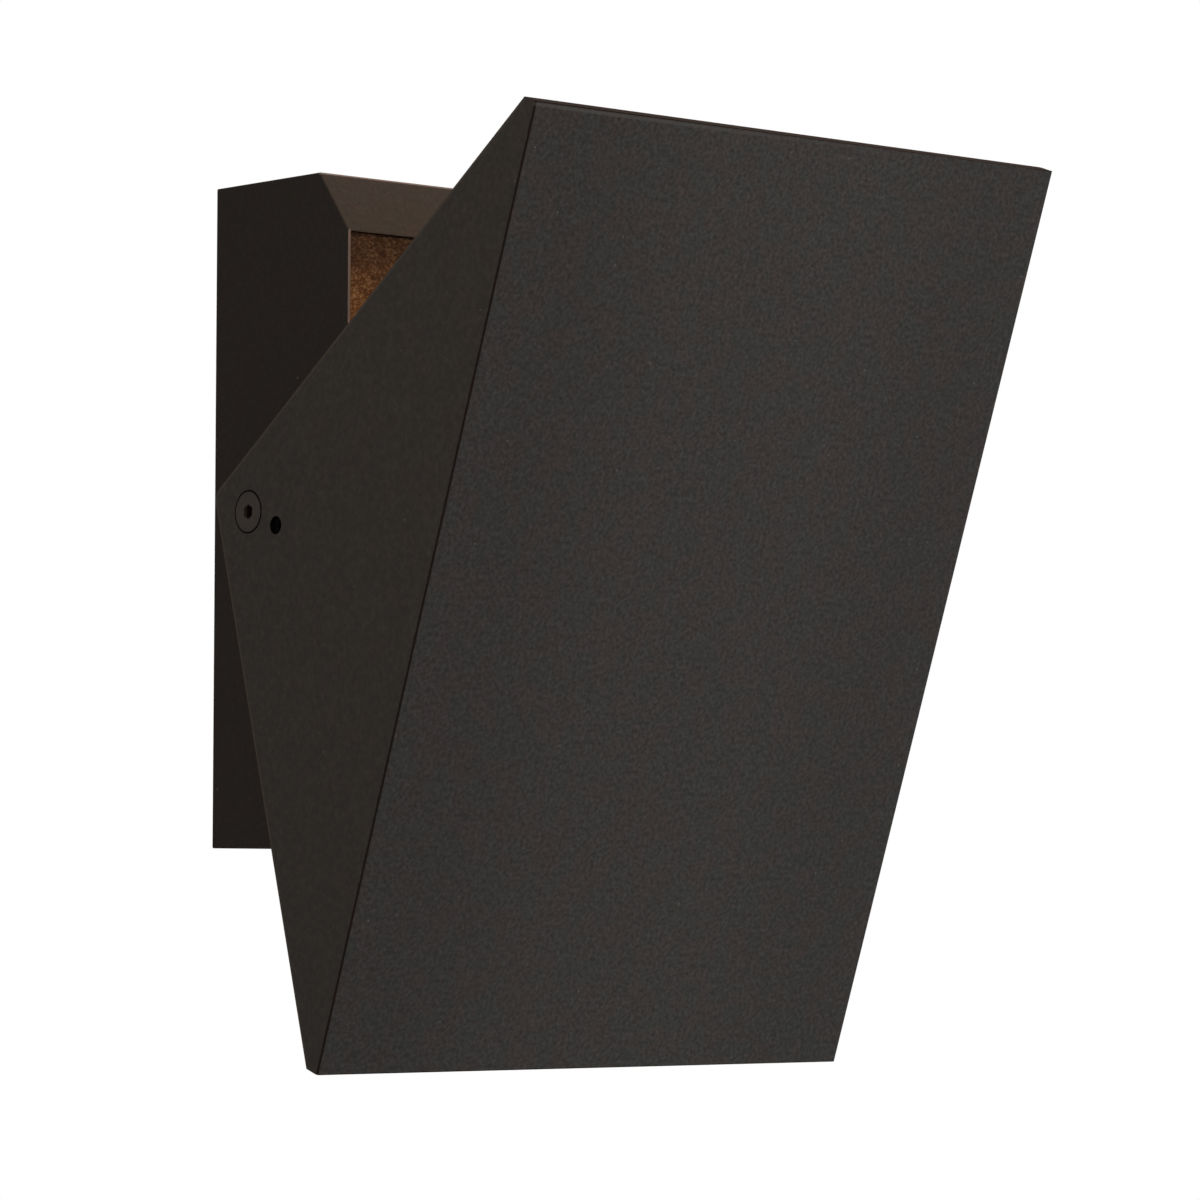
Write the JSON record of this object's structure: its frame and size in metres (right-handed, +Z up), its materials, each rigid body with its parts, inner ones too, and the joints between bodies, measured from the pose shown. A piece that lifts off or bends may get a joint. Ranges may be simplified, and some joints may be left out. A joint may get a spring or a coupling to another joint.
{
  "type": "outdoor wall sconce",
  "caption": "Box-shaped outdoor wall light with a front lens and a folded shield that tilts on side pivots to aim the glow up or down the wall.",
  "frame": {"origin": "on the wall's face, behind the middle of the housing, at the height of the pivot", "axes": "+X to the right seen from the front, +Y into the wall, +Z up; the housing's back rim and the mounting plate lie on y = 0"},
  "size_m": [0.13, 0.097, 0.1716],
  "materials": {
    "powder_coat": "matte",
    "zinc_plate": "satin",
    "dark_screw": "satin",
    "plain_screw": "satin",
    "earth_brass": "satin",
    "foam": "matte",
    "rubber": "matte",
    "silicone": "satin",
    "nylon": "satin",
    "driver_plastic": "matte",
    "board": "matte",
    "chip": "satin",
    "tray_white": "satin",
    "amber_lens": "satin",
    "wire_black": "satin",
    "wire_red": "satin"
  },
  "bodies": {
    "root": {"mounting_plate": "zinc_plate", "ground_screw": "earth_brass", "wall_gasket": "foam", "housing": "powder_coat", "housing_screws": "dark_screw", "led_driver": "driver_plastic", "driver_screws": "plain_screw", "terminal_block": "nylon", "terminal_clamps": "earth_brass", "terminal_screws": "plain_screw", "driver_leads": "wire_black", "wire_grommet": "rubber", "led_leads": "wire_red", "led_board": "board", "led_packages": "chip", "led_board_screws": "plain_screw", "reflector_tray": "tray_white", "lens_gasket": "silicone", "lens": "amber_lens", "pivot_nuts": "plain_screw", "pivot_screws": "dark_screw", "pivot_washers": "nylon"},
    "shield": {"shield": "powder_coat", "lock_screws": "dark_screw"}
  },
  "joints": [
    {"name": "shield_tilt", "type": "hinge", "parent": "root", "child": "shield", "pos_m": [0, -0.016, 0], "axis": [1, 0, 0], "range_deg": [-54.25, 15.75]}
  ]
}
